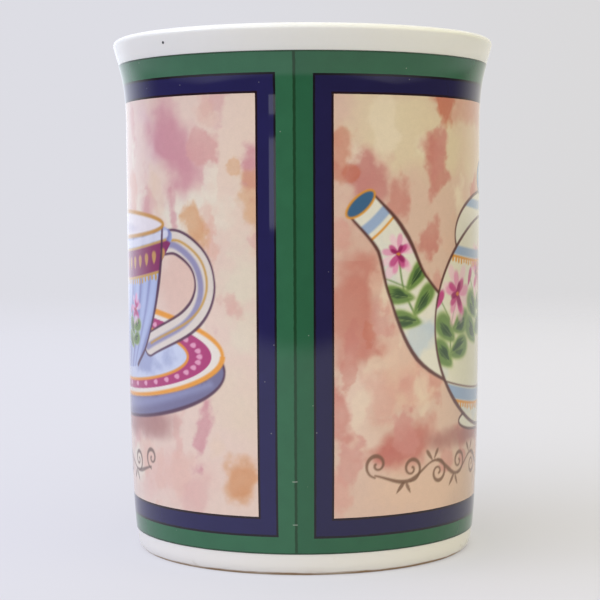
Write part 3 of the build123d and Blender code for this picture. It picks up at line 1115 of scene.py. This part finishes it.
def print_sheet(sheet, side, shift, border_ink_and_painted_light, navy_ink_and_painted_light, paint, ground):
    """The three printed layers of one transfer sheet, set lower by a shift."""
    frame_heights = [h - shift for h in FRAME_HEIGHTS]
    picture_heights = [h - shift for h in PICTURE_HEIGHTS]
    ticks = [(*TICK_SPAN, h - TICK_HALF_HEIGHT, h + TICK_HALF_HEIGHT) for h in SEAM_TICKS]
    green = band_material(
        f"{sheet}_green_ink_and_painted_light", border_ink_and_painted_light, sheet_rectangle(side, 0, BORDER_HEIGHTS),
        GREEN_LINE, GREEN_LINE_WIDTH, ticks=ticks,
    )
    outer = band_skin(f"{sheet}_border_print", side, 0.0, BORDER_ANGLE, BORDER_HEIGHTS, frame_heights)
    finish_piece(outer, green, "green_print", f"{sheet}_green_border")
    navy = band_material(
        f"{sheet}_navy_ink_and_painted_light", navy_ink_and_painted_light, sheet_rectangle(side, BORDER_ANGLE, frame_heights),
        NAVY_OUTLINE, NAVY_LINE_WIDTH, sheet_rectangle(side, PICTURE_INSET, picture_heights), MAROON_OUTLINE,
    )
    insets = (BORDER_ANGLE, PICTURE_INSET)
    inner = band_skin(f"{sheet}_frame_print", side, *insets, frame_heights, picture_heights)
    finish_piece(inner, navy, "navy_print", f"{sheet}_navy_frame")
    picture = paint_picture(f"{sheet}_picture_print", side, shift, paint, ground)
    inks = picture_material(f"{sheet}_picture_inks")
    finish_piece(picture, inks, "picture_print", f"{sheet}_picture")


# ---- The mug ----

body = lathe("china_body", body_outline(), BODY_SEGMENTS)
finish_piece(body, china_material("body_china", bare_foot=True), "china", "mug_body")
finish_piece(build_handle(), china_material("handle_china"), "china", "handle")
finish_piece(build_joint("upper_slip", 0), china_material("upper_slip_china"), "china", "upper_handle_joint")
finish_piece(build_joint("lower_slip", 1), china_material("lower_slip_china"), "china", "lower_handle_joint")
# The left sheet is printed with the lighter copies of its inks and the right sheet with the darker ones:
# painted light and painted shade.
print_sheet("left", -1, 0.0, GREEN_LEFT_PAINTED_LIGHT, NAVY_LEFT_PAINTED_LIGHT, paint_cup, LEFT_GROUND)
print_sheet("right", 1, RIGHT_PRINT_DROP, GREEN_RIGHT_PAINTED_SHADE, NAVY_RIGHT_PAINTED_SHADE, paint_teapot, RIGHT_GROUND)


# ---- The studio ----

def floor_material():
    """Pale paper, partly self-lit so that its shadows stay faint, fading out behind and in front. Its colour
    and glow are painted light: bluer and brighter to the left, dimmer to the right.
    """
    r = Recipe(bpy.data.materials.new("pale_paper"))
    across, along = r.split(r.place())[:2]
    colour = r.mix(r.ramp(across, -0.09, 0.09), FLOOR_LEFT, FLOOR_RIGHT)
    bounced = r.ramp(r.node("LightPath", output="Is Diffuse Ray"), 0.0, 1.0, 1.0, FLOOR_GLOW_BOUNCED)
    strength = r.times(r.ramp(across, -0.05, 0.07, *FLOOR_GLOW), bounced)
    glow = r.node("Emission", {"Color": colour, "Strength": strength})
    matt = r.node("BsdfDiffuse", {"Color": colour})
    share = r.ramp(across, -0.05, 0.07, *FLOOR_MATT)
    paper = r.node("MixShader", {0: share, 1: glow, 2: matt})
    ends = r.times(r.ramp(along, 1.1, 0.35), r.ramp(along, -0.58, -0.42))
    sides = r.ramp(r.maths("ABSOLUTE", across), 1.1, 0.5)
    return r.show(r.node("MixShader", {0: r.times(ends, sides), 1: r.node("BsdfTransparent"), 2: paper}))


def build_floor():
    half = FLOOR_HALF_WIDTH
    corners = [(-half, -half, 0), (half, -half, 0), (half, half, 0), (-half, half, 0)]
    floor = mesh_object("floor", corners, [(0, 1, 2, 3)])
    floor.location.z = -FLOOR_DROP * MM
    floor.data.materials.append(floor_material())


def build_world():
    """A pale backdrop for the camera; for light, a studio dim in front and bright above and behind."""
    world = bpy.data.worlds.new("studio")
    bpy.context.scene.world = world
    r = Recipe(world, "ShaderNodeOutputWorld")
    right, back, up = r.split(r.node("TexCoord", output="Generated"))
    seen = r.mix(r.ramp(right, -0.16, 0.16), BACKDROP_LEFT, BACKDROP_RIGHT)
    ceiling = r.mix(r.ramp(right, -0.8, 0.8), CEILING_LEFT, CEILING_RIGHT)
    ceiling = r.tint(ceiling, r.ramp(back, 0.5, -0.1), CEILING_BACK, 1.0)
    ceiling = r.tint(ceiling, r.ramp(up, 0.85, 0.55), CEILING_ZENITH, 1.0)
    studio = r.mix(r.ramp(up, *CEILING_RAMP), ROOM_DIM, ceiling)
    sides = (BACK_LEFT_RAMP, 0.1, BEHIND_LEFT), (BACK_RIGHT_RAMP, -0.1, BEHIND_RIGHT)
    for ramp, edge, light in sides:
        studio = r.mix(r.times(r.ramp(back, *ramp), r.ramp(right, edge, -edge)), studio, light)
    to_camera = r.node("LightPath", output="Is Camera Ray")
    r.show(r.node("Background", {"Color": r.mix(to_camera, studio, seen)}))


def soft_light(name, azimuth, elevation, distance, size, power, colour):
    """A rectangular light facing the mug. Azimuth is from the seam towards +X, in degrees."""
    data = bpy.data.lights.new(name, "AREA")
    data.shape = "RECTANGLE"
    data.size, data.size_y = size
    data.energy = power
    data.color = colour
    lamp = add_object(name, data)
    (across_cos, across_sin), (up_cos, up_sin) = cos_sin(azimuth), cos_sin(elevation)
    target = Vector((0, 0, MUG_HEIGHT * MM * 0.66))
    away = Vector((across_sin * up_cos, -across_cos * up_cos, up_sin))
    lamp.location = target + away * distance
    lamp.rotation_euler = away.to_track_quat("Z", "Y").to_euler()
    lamp.visible_camera = False


def build_camera():
    """The photographer's place: level with the upper wall, looking slightly down."""
    yaw_cos, yaw_sin = cos_sin(CAMERA_YAW)
    pitch_cos, pitch_sin = cos_sin(CAMERA_PITCH)
    roll_cos, roll_sin = cos_sin(CAMERA_ROLL)
    right = Vector((yaw_cos, -yaw_sin, 0))
    up = Vector((yaw_sin * pitch_sin, yaw_cos * pitch_sin, pitch_cos))
    forward = Vector((yaw_sin * pitch_cos, yaw_cos * pitch_cos, -pitch_sin))
    rolled_right = roll_cos * right + roll_sin * up
    rolled_up = roll_cos * up - roll_sin * right
    axes = Matrix((rolled_right, rolled_up, -forward)).transposed().to_4x4()
    data = bpy.data.cameras.new("camera")
    data.lens = CAMERA_LENS
    data.sensor_width = SENSOR_WIDTH
    data.clip_start = 0.01
    camera = add_object("camera", data)
    place = Matrix.Translation((0, -CAMERA_DISTANCE, CAMERA_HEIGHT))
    camera.matrix_world = Matrix.Rotation(math.radians(CAMERA_ANGLE), 4, "Z") @ place @ axes
    bpy.context.scene.camera = camera


build_floor()
build_world()
soft_light(
    "left_key", azimuth=-72, elevation=28, distance=1.2,
    size=(0.45, 0.45), power=1.0, colour=(0.86, 0.93, 1.0),
)
soft_light(
    "window", azimuth=-16.5, elevation=0.8, distance=1.5,
    size=(0.10, 0.11), power=0.05, colour=(0.9, 0.95, 1.0),
)
build_camera()
bpy.context.scene.view_settings.view_transform = "Standard"
